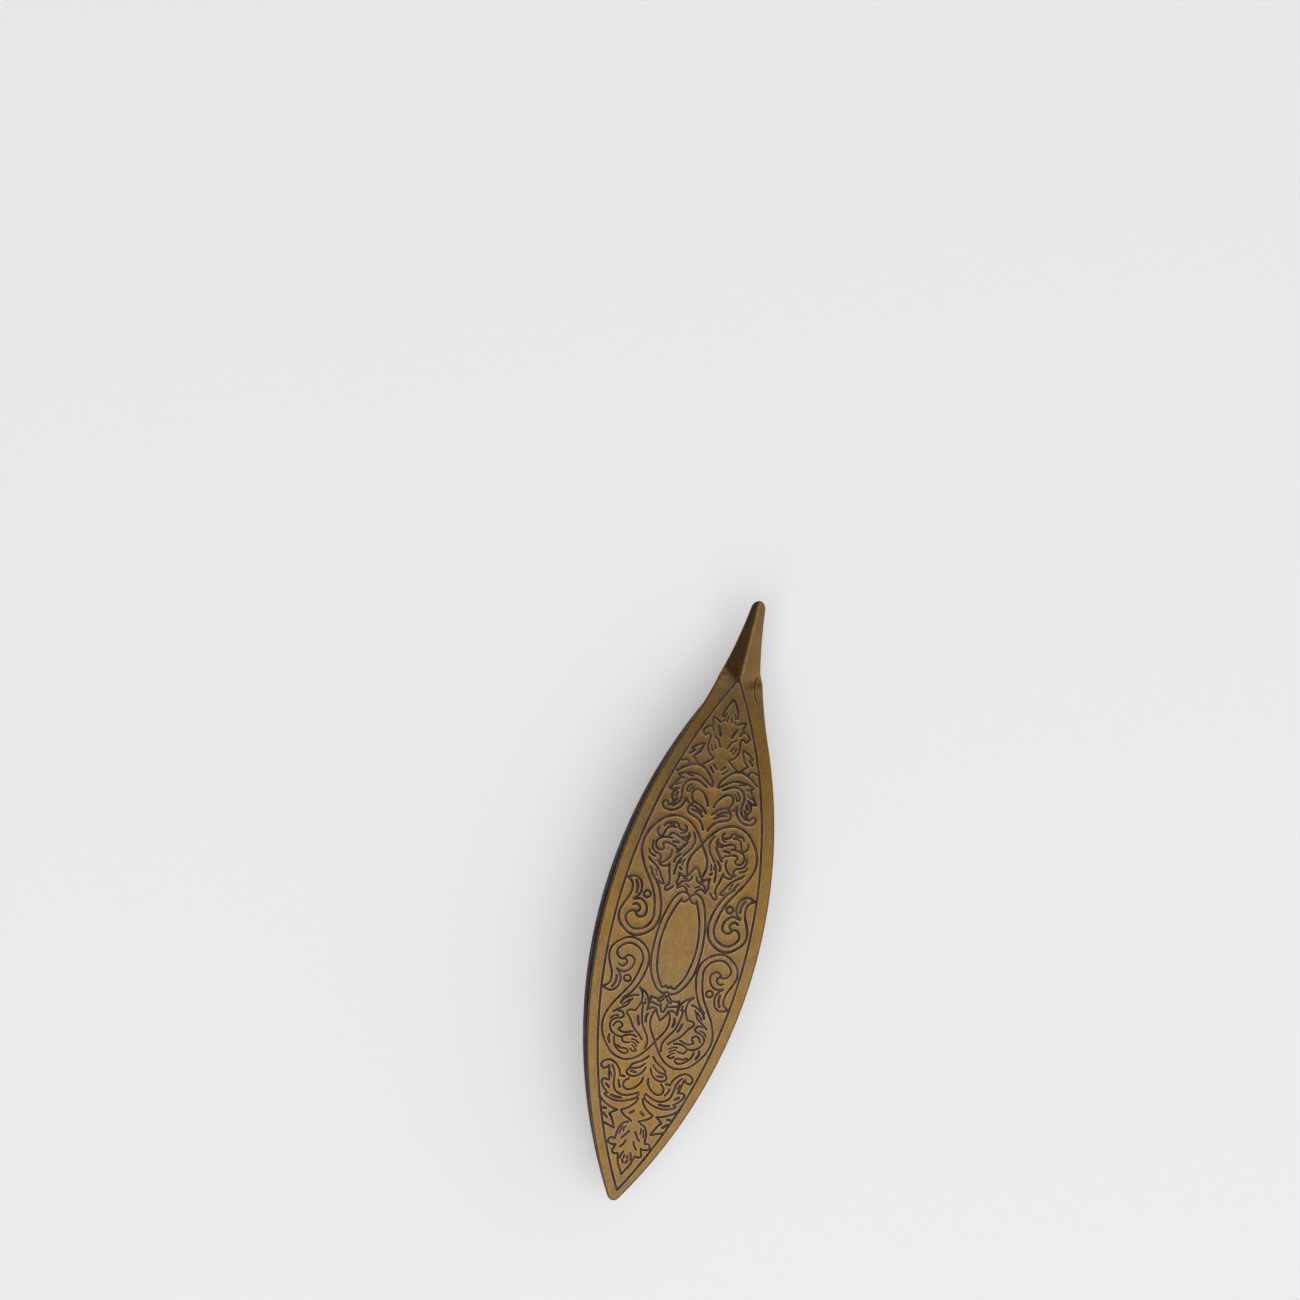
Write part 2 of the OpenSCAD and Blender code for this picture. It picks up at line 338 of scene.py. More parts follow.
def volute_leaves():
    """Curled leaves that fill each volute at the pick end."""
    return [
        bend((14.3, 5.85), (14.75, 5.6), (14.95, 5.0), (15.1, 4.5), (14.95, 4.0), (14.4, 3.75),
             (14.15, 3.3), (14.2, 2.85), (14.5, 2.55), (14.9, 2.95)),
        bend((14.4, 2.6), (14.05, 2.65), (13.75, 2.9), (13.7, 3.35), w=FINE_W),
        bend((13.9, 6.6), (13.3, 6.65), (12.85, 6.3), (12.75, 5.9), (13.3, 5.65), (14.1, 5.4),
             (14.38, 4.9), (14.4, 4.2)),
        bend((14.7, 5.2), (14.75, 4.5), w=FINE_W),
        bend((12.9, 4.85), (13.35, 4.75), (13.5, 4.35), (13.35, 3.8), (13.15, 3.3), (13.2, 2.7),
             (13.5, 2.15), (13.9, 2.15)),
        bend((12.85, 3.0), (12.85, 2.5), (13.05, 2.12), (13.5, 1.95)),
        bend((12.75, 4.35), (12.78, 5.1), (12.6, 5.8), (12.2, 6.35), (11.6, 6.5), (11.1, 6.35),
             (10.8, 5.9), (10.85, 5.45), (11.2, 5.25), (11.7, 5.5), (12.0, 5.15), (11.95, 4.5),
             (11.7, 3.9)),
        bend((11.9, 6.9), (11.3, 6.95), (10.75, 6.8), (10.35, 6.3), (10.2, 5.75), (9.85, 5.4),
             (9.4, 5.35), (9.1, 5.7)),
        bend((10.55, 7.2), (10.2, 7.1), (9.95, 6.75), (9.75, 6.25)),
        bend((9.45, 7.0), (9.05, 6.7), (8.75, 6.2), (8.2, 5.5), (7.6, 5.0), (6.9, 4.6), (6.1, 4.1)),
        bend((6.1, 4.1), (6.1, 4.6), (6.4, 5.0)),
        bend((11.05, 4.05), (10.4, 4.0), (9.9, 4.2), (9.4, 4.6), (9.1, 5.0), (8.9, 5.4), (8.6, 5.1),
             (8.6, 4.6), (8.75, 4.15)),
        bend((9.1, 4.0), (8.6, 3.85), (8.0, 3.75), (7.0, 3.45), (6.1, 3.35)),
        bend((6.1, 3.55), (5.6, 3.8), (5.2, 3.65), (5.5, 3.15), (6.0, 2.7)),
        bend((8.1, 6.5), (7.7, 6.2), (7.0, 5.85), (6.6, 5.5)),
        bend((7.95, 5.75), (7.5, 5.45), w=FINE_W),
        bend((7.2, 5.5), (7.1, 5.25), w=FINE_W),
        bend((12.3, 4.15), (12.35, 3.3), w=BOLD_W),
        bend((12.6, 2.1), (12.2, 2.35), (11.7, 2.7), (11.2, 3.05), (10.85, 3.35), w=BOLD_W),
        bend((11.75, 3.7), (11.4, 3.5), (11.35, 3.1), w=FINE_W),
        bend((10.7, 2.75), (10.3, 3.1), (9.9, 3.35), (9.45, 3.35), w=BOLD_W),
        bend((10.1, 1.95), (9.6, 2.1), (9.2, 2.1), w=FINE_W),
        bend((10.2, 2.5), (9.6, 2.75), (9.0, 2.9), (8.3, 2.95), (7.7, 3.0)),
        bend((9.9, 2.45), (9.4, 2.5), w=FINE_W),
        bend((8.85, 2.35), (8.6, 2.15), w=BOLD_W),
        bend((14.15, 1.5), (13.6, 1.25), (13.0, 1.05), (12.3, 1.2), (11.6, 1.5), (11.0, 1.95),
             (10.5, 2.3)),
    ]


def star():
    """The pointed leaf that crowns the cartouche."""
    return [
        bend((9.3, 0), (9.05, 0.3), (8.6, 0.55), (8.05, 0.8)),
        bend((8.05, 0.8), (7.75, 1.2), (7.75, 1.8), (8.05, 2.25)),
        bend((8.05, 2.25), (7.5, 2.2), (7.0, 2.25), (6.6, 2.4)),
        bend((6.6, 2.4), (6.3, 2.15), (5.85, 2.05)),
        bend((5.85, 2.05), (6.2, 1.65), (6.3, 1.25), (6.1, 0.9), (5.75, 0.6)),
        bend((7.9, 0.3), (7.4, 0.45), (7.15, 0.8), (7.05, 1.3), (6.85, 1.65), (6.5, 1.9)),
        bend((6.7, 1.1), (6.5, 0.7), (6.3, 0.4), w=FINE_W),
        bend((7.45, 0.95), (7.4, 1.5), w=FINE_W),
    ]


def spray():
    """The palmette and hooked sprays above the volutes."""
    return [
        bend((18.3, 0.42), (19.1, 0.72), (19.85, 1.25), (20.3, 1.8), (20.45, 2.3), (20.25, 2.8),
             (19.7, 3.02), (19.1, 2.95), (18.7, 2.65), (18.5, 2.3)),
        bend((17.15, 0.42), (17.75, 0.9), (18.2, 1.5), (18.45, 2.15), (18.35, 2.65), (17.9, 3.0),
             (17.2, 3.15), (16.8, 2.85), (16.55, 2.2), (16.2, 1.35), (15.6, 0.75), (14.8, 0.35)),
        bend((17.9, 2.6), (17.85, 2.1), (17.5, 1.5), (17.3, 1.1)),
        bend((17.35, 2.55), (17.3, 2.0), (17.05, 1.4), (16.6, 0.85)),
        bend((18.3, 3.3), (18.95, 3.8), (18.2, 3.85), (17.6, 4.15), (17.1, 4.6), (16.8, 5.1),
             (16.7, 5.7), (16.8, 6.3), (17.1, 6.75), (17.6, 6.85), (17.95, 6.55), (17.8, 6.2),
             (17.35, 5.95), (17.6, 5.6), (18.2, 5.2), (18.6, 4.95)),
        bend((20.95, 1.2), (21.25, 1.75), (21.6, 2.4), (21.72, 3.0), (21.6, 3.6), (21.25, 4.1),
             (20.7, 4.42), (20.0, 4.55), (19.2, 4.42), (18.6, 4.45), (18.0, 4.7), (17.4, 5.35)),
        bend((21.15, 0.5), (21.55, 1.05), (22.05, 1.7), (22.45, 2.4), (22.6, 3.2), (22.6, 4.0),
             (22.4, 4.8), (22.05, 5.55)),
        bend((22.05, 5.55), (21.8, 5.25), (21.65, 4.7)),
        bend((21.7, 5.15), (21.2, 5.45), (20.7, 5.85), (20.2, 6.1), (19.75, 6.4)),
        bend((19.75, 6.4), (19.72, 5.9), (19.95, 5.4), (20.1, 5.1)),
        bend((20.85, 5.0), (20.6, 5.3), (20.5, 5.7), w=FINE_W),
        bend((19.9, 5.3), (19.5, 5.65), (19.0, 5.8), (18.5, 5.7), (18.2, 5.45)),
        bend((19.4, 5.1), (18.9, 5.3), w=BOLD_W),
        bend((20.95, 3.35), (20.6, 3.7), (20.2, 3.9), (19.85, 3.8), w=FINE_W),
        bend((20.65, 3.0), (20.3, 3.35), (19.8, 3.5), w=FINE_W),
        bend((22.25, 4.25), (22.15, 3.4), w=FINE_W),
        bend((21.2, 0.38), (21.8, 0.48), (22.4, 0.85), (23.1, 1.45), (23.6, 2.0), (23.9, 2.6),
             (24.0, 3.2)),
        bend((24.0, 3.2), (23.85, 3.9), (23.5, 4.6), (23.1, 5.2), (22.5, 5.9)),
    ]


def crest():
    """The lobed leaf in the point of the border at the pick end."""
    return [
        bend((34.2, 0), (33.6, 0.42), (33.0, 0.72), (32.3, 1.0), (31.5, 1.15)),
        bend((31.2, 2.35), (30.95, 1.8), (30.6, 1.25)),
        bend((31.2, 2.35), (30.7, 2.4), (30.3, 2.2), (29.8, 2.3), (29.5, 2.1), (29.15, 1.95)),
        bend((29.85, 2.45), (29.6, 2.95), (29.05, 3.4)),
        bend((28.95, 3.45), (28.5, 3.2), (28.35, 2.95), (28.7, 2.65), (28.6, 2.3), (28.1, 2.2),
             (27.4, 2.3), (26.7, 2.3), (26.1, 2.05), (25.65, 1.7), (25.35, 1.1)),
        bend((32.1, 0.6), (31.4, 0.8), w=FINE_W),
        bend((31.6, 0.28), (30.85, 0.38), w=FINE_W),
        bend((31.05, 0.75), (30.75, 0.95), w=FINE_W),
        bend((29.95, 1.35), (29.4, 1.1), (28.65, 0.82), w=BOLD_W),
        bend((28.45, 1.65), (28.15, 1.35), w=FINE_W),
        bend((28.15, 1.1), (27.6, 0.8), (27.0, 0.5)),
        bend((27.25, 1.4), (26.65, 1.15), w=FINE_W),
        bend((27.15, 1.85), (26.7, 1.7), (26.3, 1.45), w=FINE_W),
        bend((25.3, 1.05), (24.85, 1.6), (24.4, 2.15), (24.0, 2.75)),
        bend((25.0, 4.1), (24.65, 3.65), (24.3, 3.35), (24.0, 2.95)),
        bend((27.25, 2.8), (26.9, 3.5), (26.5, 4.1), (26.1, 4.5)),
        bend((27.1, 2.8), (26.4, 3.05), (25.7, 3.35), (25.1, 3.9)),
        bend((25.9, 4.1), (25.3, 4.65), w=BOLD_W),
        bend((24.1, 5.5), (24.35, 4.95), (24.15, 4.5), (23.7, 4.4)),
        bend((24.3, 0.85), (23.8, 0.3), w=BOLD_W),
        bend((23.9, 1.3), (23.2, 0.7)),
    ]


def lower_leaves():
    """Curled leaves that fill each volute at the tail."""
    return [
        bend((-9.2, 4.0), (-9.55, 3.3), (-9.95, 2.8), (-10.55, 2.4), (-11.3, 2.2), (-12.2, 2.2)),
        bend((-9.2, 4.0), (-9.8, 3.5), (-10.4, 3.28), (-11.2, 3.25), (-11.9, 3.5), (-12.5, 3.75)),
        bend((-10.35, 3.9), (-10.4, 4.4), (-10.9, 5.35), (-11.4, 5.9), (-11.95, 6.15)),
        bend((-11.0, 4.6), (-11.6, 4.95), (-12.1, 5.2), (-12.5, 5.75), (-12.9, 6.35), (-13.35, 6.85)),
        bend((-11.2, 5.0), (-11.75, 5.5), (-12.15, 5.85), w=FINE_W),
        bend((-10.7, 2.75), (-11.4, 2.6), w=FINE_W),
        bend((-11.3, 2.92), (-12.4, 2.85), (-13.4, 2.65), (-14.3, 2.38), (-15.2, 1.8), (-16.1, 1.25),
             (-17.0, 1.05), (-17.7, 1.2)),
        bend((-12.7, 1.95), (-13.3, 2.1), (-13.9, 1.95), w=BOLD_W),
        bend((-13.3, 3.25), (-13.9, 3.1), (-14.5, 2.85), w=BOLD_W),
        bend((-12.6, 3.8), (-12.6, 4.4), (-12.85, 4.9), (-13.25, 4.85), (-13.7, 4.4), (-14.3, 4.0),
             (-15.0, 3.55), (-15.5, 3.0), (-16.0, 2.4), (-16.55, 1.9)),
        bend((-13.1, 6.25), (-13.1, 5.7), (-13.4, 5.35), (-13.8, 5.25), (-14.05, 5.6), (-14.15, 6.1),
             (-14.45, 6.6), (-15.0, 6.9), (-15.7, 6.75), (-16.3, 6.3), (-16.65, 5.6), (-16.7, 4.9)),
        bend((-13.75, 6.0), (-13.9, 6.6), (-14.4, 7.05), w=FINE_W),
        bend((-15.4, 6.4), (-14.85, 6.15), (-14.6, 5.75), (-14.8, 5.25), (-15.2, 5.1), (-15.6, 5.5),
             (-15.85, 5.3), (-16.0, 4.7), (-15.85, 4.1), (-15.65, 3.5)),
        bend((-16.5, 4.6), (-16.25, 4.0), (-16.15, 3.3), (-16.3, 2.8)),
        bend((-16.7, 4.75), (-17.2, 4.65), (-17.42, 4.2), (-17.3, 3.6)),
        bend((-16.75, 3.4), (-16.8, 2.8), (-17.15, 2.2), w=FINE_W),
        bend((-17.15, 3.3), (-17.25, 2.8), (-17.65, 2.35), w=FINE_W),
        bend((-17.6, 3.15), (-17.8, 2.75), (-18.1, 2.45), w=FINE_W),
        bend((-18.15, 3.2), (-18.45, 2.8), (-18.3, 2.3)),
        bend((-16.95, 5.9), (-17.6, 5.75), (-18.3, 5.3), (-18.8, 4.65), (-19.0, 4.0), (-18.8, 3.5),
             (-18.4, 3.55), (-18.25, 4.0), (-18.3, 4.6), (-18.0, 5.1)),
        bend((-16.7, 6.6), (-17.2, 6.65), (-17.85, 6.35), w=BOLD_W),
    ]


def pendant():
    """The pointed leaf that hangs under the cartouche."""
    return [
        bend((-10.15, 2.05), (-10.3, 1.4), (-10.25, 0.9), (-9.85, 0.55), (-9.7, 0.2), (-9.9, 0)),
        bend((-10.2, 2.1), (-10.7, 2.05), (-11.3, 2.1), (-12.05, 2.15)),
        bend((-12.05, 2.15), (-11.75, 1.6), (-11.7, 1.2), (-11.9, 0.85)),
        bend((-11.9, 0.85), (-12.4, 0.65), (-12.9, 0.35), (-13.4, 0)),
        bend((-10.65, 0.95), (-10.5, 0.5), (-10.15, 0.25)),
        bend((-10.95, 1.9), (-11.05, 1.4), (-11.25, 0.8)),
        bend((-10.9, 0.5), (-11.4, 0.4), (-12.1, 0.15)),
    ]


def lower_spray():
    """The scrolled leaves below the lower volutes."""
    return [
        bend((-18.7, 0.3), (-19.2, 0.75), (-19.7, 1.4), (-20.1, 2.1), (-20.5, 2.55), (-20.9, 2.6)),
        bend((-20.85, 2.55), (-20.8, 1.9), (-20.5, 1.2), (-19.9, 0.6)),
        bend((-20.9, 2.6), (-21.4, 2.95), (-21.85, 2.7), (-22.0, 2.0), (-21.7, 1.2), (-21.1, 0.65),
             (-20.4, 0.35)),
        bend((-21.3, 2.3), (-21.35, 1.6), w=BOLD_W),
        bend((-21.9, 0.38), (-22.6, 0.5), (-23.3, 0.95), (-23.8, 1.6), (-24.0, 2.2), (-23.8, 2.75),
             (-23.35, 2.95), (-22.8, 2.8), (-22.4, 2.35)),
        bend((-22.2, 3.7), (-22.25, 3.05), w=BOLD_W),
        bend((-22.9, 3.75), (-23.4, 3.6), (-23.9, 3.3)),
        bend((-21.15, 5.6), (-21.55, 5.95), (-21.62, 6.35), (-21.25, 6.7), (-20.75, 6.62), (-20.4, 6.2),
             (-20.25, 5.6), (-20.45, 5.0), (-20.85, 4.45), (-21.4, 4.0), (-21.85, 3.8)),
        bend((-21.1, 5.6), (-21.6, 5.4), (-22.4, 5.3), (-23.1, 5.05)),
        bend((-21.0, 5.15), (-21.45, 4.8), (-22.2, 4.5), (-23.1, 4.38), (-23.9, 4.2), (-24.5, 3.8),
             (-24.85, 3.1), (-24.9, 2.3), (-24.65, 1.5), (-24.15, 0.5)),
        bend((-22.0, 5.1), (-22.6, 4.85), w=FINE_W),
        bend((-23.2, 5.15), (-23.1, 5.8), (-23.35, 6.1), (-23.8, 5.98), (-24.3, 5.65), (-24.85, 5.05)),
        bend((-23.8, 5.35), (-24.2, 4.85), w=BOLD_W),
        bend((-24.5, 0.4), (-25.05, 0.8), (-25.5, 1.6), (-25.82, 2.6), (-25.9, 3.6), (-25.68, 4.55),
             (-25.3, 5.25), (-25.0, 4.8)),
        bend((-25.25, 4.3), (-25.4, 3.6), (-25.35, 2.8), w=BOLD_W),
    ]


def foot():
    """The diamond, side leaves and lobed leaf in the point of the border at the tail."""
    return [
        bend((-25.0, 0.3), (-25.75, 0.65), (-26.35, 1.2), (-26.8, 1.8), (-27.1, 2.35)),
        bend((-27.1, 2.35), (-27.5, 2.05), (-27.9, 1.5), (-28.15, 0.9), (-28.4, 0.5)),
        bend((-26.9, 0.5), (-27.3, 1.0), w=BOLD_W),
        bend((-25.4, 6.0), (-26.0, 5.5), (-26.55, 4.75), (-26.9, 4.0), (-27.12, 3.3), (-27.2, 2.85)),
        bend((-27.2, 2.85), (-27.6, 3.45), (-27.95, 3.85)),
        bend((-27.95, 3.85), (-28.4, 3.45), (-29.0, 3.1), (-29.9, 2.7)),
        bend((-29.9, 2.7), (-29.65, 3.4), (-29.35, 4.3)),
        bend((-27.25, 4.5), (-27.3, 5.1), w=BOLD_W),
        bend((-28.0, 4.7), (-28.55, 4.1), w=BOLD_W),
        bend((-28.6, 0.9), (-28.85, 1.5), (-29.4, 1.9), (-30.1, 2.1), (-30.8, 2.15), (-31.35, 2.2)),
        bend((-31.35, 2.2), (-31.3, 2.75), (-31.65, 3.05), (-32.1, 2.9), (-32.25, 2.3), (-32.15, 1.85)),
        bend((-32.15, 1.85), (-32.7, 2.0), (-33.25, 2.15), (-33.5, 1.8), (-33.4, 1.3)),
        bend((-33.4, 1.25), (-34.0, 1.1), (-34.8, 0.85), (-35.6, 0.4), (-36.35, 0)),
        bend((-29.2, 1.1), (-29.7, 1.25), (-30.1, 1.25), w=FINE_W),
        bend((-29.4, 1.5), (-30.0, 1.68), (-30.5, 1.75), w=FINE_W),
        bend((-29.9, 0.45), (-30.5, 0.85), (-31.1, 1.3)),
        bend((-31.3, 0.55), (-31.9, 0.8), (-32.4, 1.2)),
        bend((-33.0, 0.5), (-33.5, 0.75), (-34.0, 0.75)),
        bend((-33.45, 0.24), (-33.9, 0.26)),
        bend((-34.2, 0.38), (-34.6, 0.2)),
    ]


def ornament():
    """Every engraved line of the pattern, both sides, set askew as on the real blade."""
    one_side = border() + cartouche() + deeper(scroll() + spray()) + star() + volute_leaves() + crest()
    one_side += aft(scroll()) + pendant() + lower_leaves() + lower_spray() + foot()

    def place(p):
        return PATTERN_SCALE * Vector((p.x - SKEW * p.y, p.y + LEAN * p.x)) + PATTERN_SHIFT

    return [([place(p) for p in points], w) for points, w in mirrored(one_side)]


def pick_crease():
    """The crease where the sheet turns down beside the pick, on the shuttle's right."""
    return [
        bend((38.3, -2.3), (37.8, -2.2), (37.0, -2.15), (36.1, -2.25), (35.3, -2.55), (34.6, -2.98),
             (33.95, -3.5), w=CREASE_W),
    ]


class Engraving:
    """A set of engraved lines, and how deep they cut at any place in plan."""

    def __init__(self, lines):
        self.lines = [(resample(points, STROKE_STEP), w) for points, w in lines]
        samples = [(p, w) for points, w in lines for p in resample(points, SAMPLE_STEP)]
        self.half_widths = [w / 2 for _, w in samples]
        self.tree = kdtree.KDTree(max(1, len(samples)))
        for i, (p, _) in enumerate(samples):
            self.tree.insert(p.to_3d(), i)
        self.tree.balance()
        self.reach = max(self.half_widths, default=0) + LIP_W

    def profile(self, p):
        """How deep in a groove a place lies, 1 on its floor, and how far up a lip, 1 at the groove's edge."""
        cut = lip = 0
        for _, i, d in self.tree.find_range(p.to_3d(), self.reach):
            half = self.half_widths[i]
            cut = max(cut, min(1, (1 - d / half) / (1 - FLOOR_SHARE)))
            lip = max(lip, 1 - abs(d - half) / LIP_W)
        return (cut, 0) if cut > RESIDUE_FROM else (0, lip)

    def clear(self, p):
        """Whether a place lies well away from every line."""
        return self.tree.find(p.to_3d())[2] > CLEAR_OF_LINE if self.half_widths else True


def around(points, half_width):
    """A loop round an engraved line: along one side, round the end, back, and round the start."""
    ways = [(b - a).normalized() for a, b in zip(points, points[1:])]
    ways = [ways[0]] + [(a + b).normalized() for a, b in zip(ways, ways[1:])] + [ways[-1]]
    left = [p + half_width * Vector((-w.y, w.x)) for p, w in zip(points, ways)]
    right = [p - half_width * Vector((-w.y, w.x)) for p, w in zip(points, ways)]

    def round_end(p, w):
        start = math.atan2(w.x, -w.y)
        turns = [start - math.pi * k / END_TURNS for k in range(1, END_TURNS)]
        return [p + half_width * Vector((math.cos(t), math.sin(t))) for t in turns]

    return left + round_end(points[-1], ways[-1]) + right[::-1] + round_end(points[0], -ways[0])


def spread_points(inside, with_pick):
    """Mesh points on the plain metal, closer together on the folded pick."""
    points = []
    rows = round(2 * HALF_WIDTH / PLAIN_STEP)
    for i in range(-round(HALF_LENGTH / PLAIN_STEP), round(HALF_LENGTH / PLAIN_STEP) + 1):
        for j in range(-rows, rows + 1):
            points.append(Vector((i * PLAIN_STEP, (j + 0.5 * (i % 2)) * PLAIN_STEP)))
    if with_pick:
        pick_from = fold_x - PICK_MARGIN
        points = [p for p in points if p.x < pick_from]
        for i in range(int((PICK_REACH + FOLD_BACK + PICK_MARGIN) / PICK_STEP)):
            x = pick_from + i * PICK_STEP
            points.append(Vector((x, 0)))
            points += [Vector((x, side * y)) for y in PICK_ROWS for side in (1, -1)]
    return [p for p in points if inside(p)]


def face_mesh(rim, ways, engraving, with_pick, height):
    """One face of a blade inside its rim: places, triangles, their materials, and the rim's places."""
    edge = kdtree.KDTree(len(rim))
    for i, p in enumerate(rim):
        edge.insert(p.to_3d(), i)
    edge.balance()

    def inside(p, clear=RIM_CLEAR):
        return edge.find(p.to_3d())[2] > clear and within(rim, p) and engraving.clear(p)

    points = list(rim)
    joins = [(i, (i + 1) % len(rim)) for i in range(len(rim))]
    for line, w in engraving.lines:
        first = len(points)
        points += line
        joins += [(first + i, first + i + 1) for i in range(len(line) - 1)]
        for half_width in (FLOOR_SHARE * w / 2, w / 2, w / 2 + LIP_W):
            loop = around(line, half_width)
            first = len(points)
            points += loop
            joins += [(first + i, first + (i + 1) % len(loop)) for i in range(len(loop))]
    close_ring = [p - RIM_RING * way for p, way in zip(rim, ways)]
    points += [p for p in close_ring if inside(p, RING_CLEAR)] + spread_points(inside, with_pick)
    places, _, faces, sources, _, _ = delaunay_2d_cdt(points, joins, [], WHOLE_HULL, MERGE_DISTANCE, True)
    rim_at = {}
    for i, source in enumerate(sources):
        for s in source:
            if s < len(rim):
                rim_at[s] = i
    on_rim = set(rim_at.values())
    middles = [sum((places[i] for i in f), Vector((0, 0))) / len(f) for f in faces]
    kept = [(f, m) for f, m in zip(faces, middles) if not on_rim.issuperset(f) or within(rim, m)]
    raised = []
    for p in places:
        cut, lip_up = engraving.profile(p)
        raised.append(Vector((p.x, p.y, height(p.x, p.y) - GROOVE_DEPTH * cut + LIP_RISE * lip_up)))
    finish = []
    for _, m in kept:
        cut, lip_up = engraving.profile(m)
        # A groove's floor takes the residue, and its lips the painted highlight.
        finish.append(RESIDUE if cut else LIP_HIGHLIGHT if lip_up > LIP_HIGHLIGHT_FROM else FACE)
    return raised, [f for f, _ in kept], finish, rim_at


def within(loop, p):
    """Whether a place lies inside a closed loop in plan."""
    hit = False
    for a, b in zip(loop, loop[1:] + loop[:1]):
        if (a.y > p.y) != (b.y > p.y) and p.x < (b.x - a.x) * (p.y - a.y) / (b.y - a.y) + a.x:
            hit = not hit
    return hit


def below(top, normal):
    """The place one sheet under a rim point, kept on its own side of the ridge at the end of the pick."""
    low = top - SHEET * normal
    side = math.copysign(1, top.y)
    return Vector((low.x, side * max(side * low.y, RIDGE_KEEP * side * top.y), low.z))


def blade(name, with_pick, lines, materials):
    """A pressed blade: an engraved outer face, a rounded rim and a plain inner face."""
    loop = loop_outline(with_pick)
    ways = [heading(turn) for _, turn in loop]
    tops, normals, outs = [], [], []
    for (at, _), way in zip(loop, ways):
        top = at - EDGE_R * way
        s = slope_at(top.x, top.y, with_pick)
        normals.append(Vector((-s.x, -s.y, 1)).normalized())
        outs.append(Vector((way.x, way.y, s.dot(way))).normalized())
        tops.append(Vector((top.x, top.y, outer_z(top.x, top.y, with_pick))))
    lows = [below(t, n) for t, n in zip(tops, normals)]

    def outer_height(x, y):
        return outer_z(x, y, with_pick)

    def inner_height(x, y):
        return inner_z(x, y, with_pick)

    verts, outer_faces, marks, outer_rim = face_mesh(
        [t.xy for t in tops], ways, Engraving(lines), with_pick, outer_height
    )
    inner_verts, inner_faces, _, inner_rim = face_mesh(
        [t.xy for t in lows], ways, Engraving([]), with_pick, inner_height
    )
    faces = [tuple(f) for f in outer_faces]
    previous = [outer_rim[i] for i in range(len(loop))]
    turns = [math.pi / 2 * k / RIM_TURNS for k in range(1, RIM_TURNS + 1)]
    upper = [(tops, a, -1) for a in turns]
    lower = [(lows, a, 1) for a in reversed(turns)]
    for base, a, side in upper + lower:
        first = len(verts)
        for b, n, o in zip(base, normals, outs):
            verts.append(b + EDGE_R * (math.sin(a) * o + side * (1 - math.cos(a)) * n))
        current = [first + i for i in range(len(loop))]
        faces += strip(previous, current)
        previous = current
    first = len(verts)
    verts += inner_verts
    faces += strip(previous, [first + inner_rim[i] for i in range(len(loop))])
    marks += [EDGE] * (len(faces) - len(marks))
    faces += [tuple(first + i for i in reversed(f)) for f in inner_faces]
    # The inner face takes the painted shade.
    marks += [INSIDE] * len(inner_faces)
    return smooth_object(name, verts, faces, marks, materials)


def smooth_object(name, verts, faces, marks, materials):
    """A smooth-shaded object from places in millimetres, with a material for each face."""
    mesh = bpy.data.meshes.new(name)
    mesh.from_pydata([v * MM for v in verts], [], faces)
    for m in materials:
        mesh.materials.append(m)
    mesh.polygons.foreach_set("material_index", marks)
    mesh.polygons.foreach_set("use_smooth", [True] * len(faces))
    mesh.set_sharp_from_angle(angle=SHARP_TURN)
    mesh.validate()
    obj = bpy.data.objects.new(name, mesh)
    bpy.context.scene.collection.objects.link(obj)
    return obj


def strip(upper, lower):
    """Quads between two loops of the same length, facing outwards."""
    n = len(upper)
    return [(upper[i], lower[i], lower[(i + 1) % n], upper[(i + 1) % n]) for i in range(n)]


# Each noise in the metals and in the patina: its repeats per metre, its detail and its roughness
MOTTLE = (420, 6, 0.62)
STAIN = (110, 3, 0.5)
SPECKLE = (4200, 3, 0.6)
BRUSHING = (1800, 3, 0.5)
GRAIN = (2600, 4, 0.5)
CLOTS = (520, 5, 0.7)

# Brushing and grain run along the shuttle.
BRUSH_STRETCH = (0.35, 1, 1)

# Tints of the stain, and the greys that the speckle runs between
COOL = (0.96, 0.98, 1.08)
WARM = (1.06, 0.99, 0.72)
SPECKLE_GREYS = (0.78, 1.2)

# Colours of the residue where it is thick and where it is thin
THICK_RESIDUE = (0.03, 0.017, 0.013)
THIN_RESIDUE = (0.15, 0.09, 0.06)


def nodes_of(name):
    """A new material with its node tree and its shader."""
    material = bpy.data.materials.new(name)
    material.use_nodes = True
    tree = material.node_tree
    return material, tree, tree.nodes["Principled BSDF"]


def noise(tree, coords, kind):
    """The grey value of one of the noises above."""
    scale, detail, roughness = kind
    node = tree.nodes.new("ShaderNodeTexNoise")
    node.inputs["Scale"].default_value = scale
    node.inputs["Detail"].default_value = detail
    node.inputs["Roughness"].default_value = roughness
    tree.links.new(coords, node.inputs["Vector"])
    return node.outputs["Fac"]


def ramp(tree, value, low, high):
    """A colour or grey that runs between two stops, each (position, colour)."""
    node = tree.nodes.new("ShaderNodeValToRGB")
    for element, (position, colour) in zip(node.color_ramp.elements, (low, high)):
        element.position = position
        element.color = (*colour, 1)
    tree.links.new(value, node.inputs["Fac"])
    return node.outputs["Color"]


def grey(v):
    """A neutral colour."""
    return (v, v, v)


def product(tree, *colours):
    """Colours multiplied together."""
    total = colours[0]
    for colour in colours[1:]:
        node = tree.nodes.new("ShaderNodeVectorMath")
        node.operation = "MULTIPLY"
        tree.links.new(total, node.inputs[0])
        tree.links.new(colour, node.inputs[1])
        total = node.outputs["Vector"]
    return total


def bump(tree, shader, height, strength, depth):
    """Surface relief of the given depth in millimetres."""
    node = tree.nodes.new("ShaderNodeBump")
    node.inputs["Strength"].default_value = strength
    node.inputs["Distance"].default_value = depth * MM
    tree.links.new(height, node.inputs["Height"])
    tree.links.new(node.outputs["Normal"], shader.inputs["Normal"])


